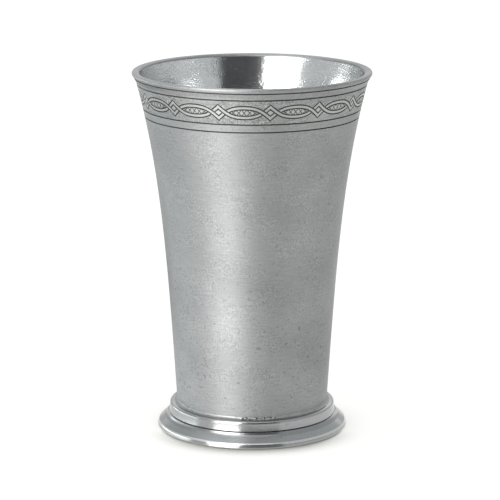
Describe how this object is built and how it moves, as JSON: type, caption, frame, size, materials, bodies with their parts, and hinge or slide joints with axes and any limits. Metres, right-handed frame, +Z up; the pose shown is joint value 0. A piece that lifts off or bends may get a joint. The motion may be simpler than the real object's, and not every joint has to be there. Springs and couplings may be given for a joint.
{
  "type": "pewter beaker",
  "caption": "Tall flared pewter drinking cup with a rounded lip, turned lines, an engraved interlaced band and a stepped spreading foot.",
  "frame": {"origin": "centre of the foot's base, on the surface that the cup stands on", "axes": "+Z up along the cup's axis; the picture looks at the -Y side"},
  "size_m": [0.0854, 0.0854, 0.13],
  "materials": {
    "wall_pewter": "satin, finely turned",
    "floor_pewter": "polished satin",
    "foot_pewter": "polished satin",
    "solder": "dull, slightly rough"
  },
  "bodies": {
    "root": {"body_wall": "wall_pewter", "floor_disc": "floor_pewter", "foot_ring": "foot_pewter", "foot_solder": "solder", "floor_solder": "solder"}
  },
  "joints": []
}
